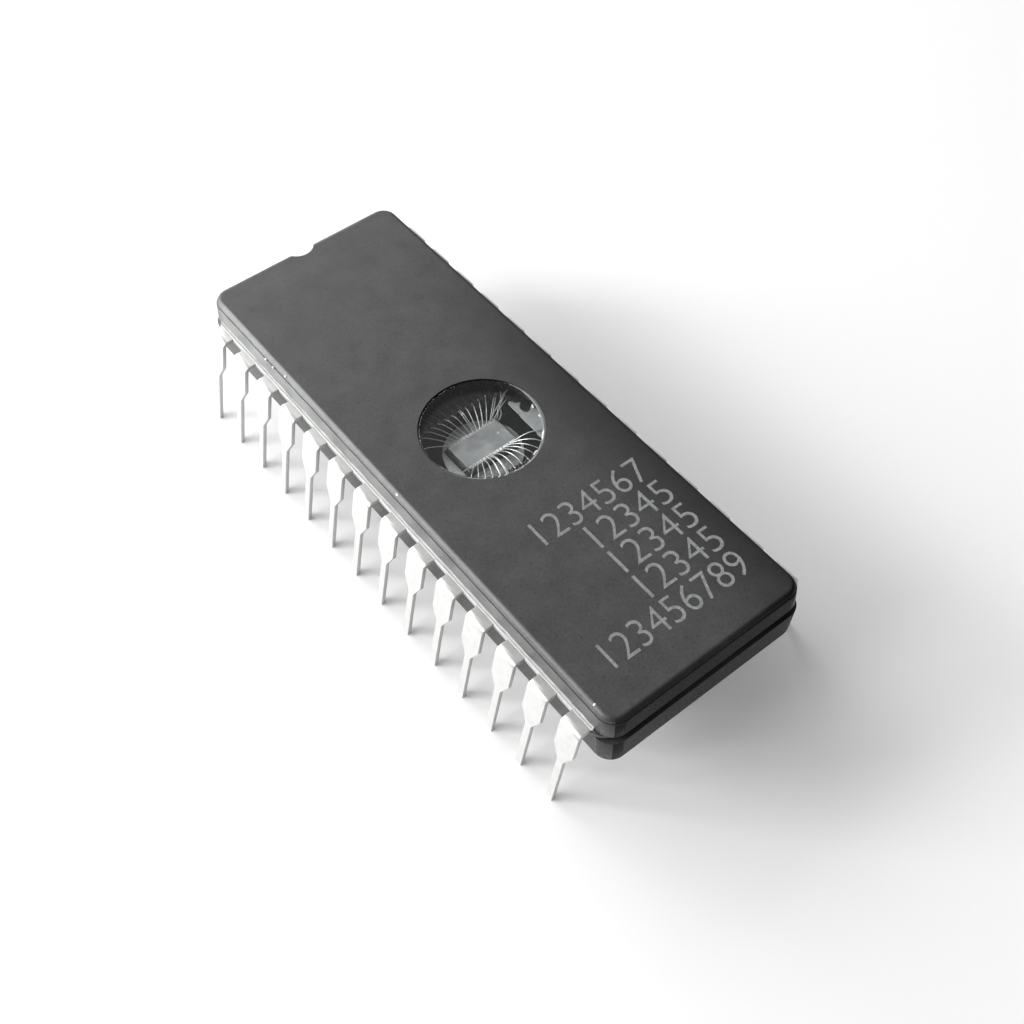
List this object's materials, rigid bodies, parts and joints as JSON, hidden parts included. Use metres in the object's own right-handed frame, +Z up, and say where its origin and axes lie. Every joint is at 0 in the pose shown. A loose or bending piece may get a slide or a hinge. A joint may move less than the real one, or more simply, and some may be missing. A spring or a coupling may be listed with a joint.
{
  "type": "eprom chip",
  "caption": "Windowed ceramic dual in-line memory chip: dark cap and base sealed with glass, round window over the die and its bond wires, two rows of splayed tinned leads.",
  "frame": {"origin": "middle of the footprint, at the level of the lead tips that the chip stands on", "axes": "+Z up through the window, +Y towards the notched end, +X to the row of leads 15 to 28"},
  "size_m": [0.0174, 0.037, 0.0079],
  "materials": {
    "dark_ceramic": "matte",
    "seal_frit": "satin",
    "clear_glass": "polished",
    "attach_paste": "matte",
    "silicon": "polished",
    "tinned_alloy": "satin"
  },
  "bodies": {
    "root": {"ceramic_base": "dark_ceramic", "ceramic_cap": "dark_ceramic", "window_lens": "clear_glass", "seal_glass": "seal_frit", "die_attach": "attach_paste", "silicon_die": "silicon", "lead_01": "tinned_alloy", "lead_02": "tinned_alloy", "lead_03": "tinned_alloy", "lead_04": "tinned_alloy", "lead_05": "tinned_alloy", "lead_06": "tinned_alloy", "lead_07": "tinned_alloy", "lead_08": "tinned_alloy", "lead_09": "tinned_alloy", "lead_10": "tinned_alloy", "lead_11": "tinned_alloy", "lead_12": "tinned_alloy", "lead_13": "tinned_alloy", "lead_14": "tinned_alloy", "lead_15": "tinned_alloy", "lead_16": "tinned_alloy", "lead_17": "tinned_alloy", "lead_18": "tinned_alloy", "lead_19": "tinned_alloy", "lead_20": "tinned_alloy", "lead_21": "tinned_alloy", "lead_22": "tinned_alloy", "lead_23": "tinned_alloy", "lead_24": "tinned_alloy", "lead_25": "tinned_alloy", "lead_26": "tinned_alloy", "lead_27": "tinned_alloy", "lead_28": "tinned_alloy"}
  },
  "joints": []
}
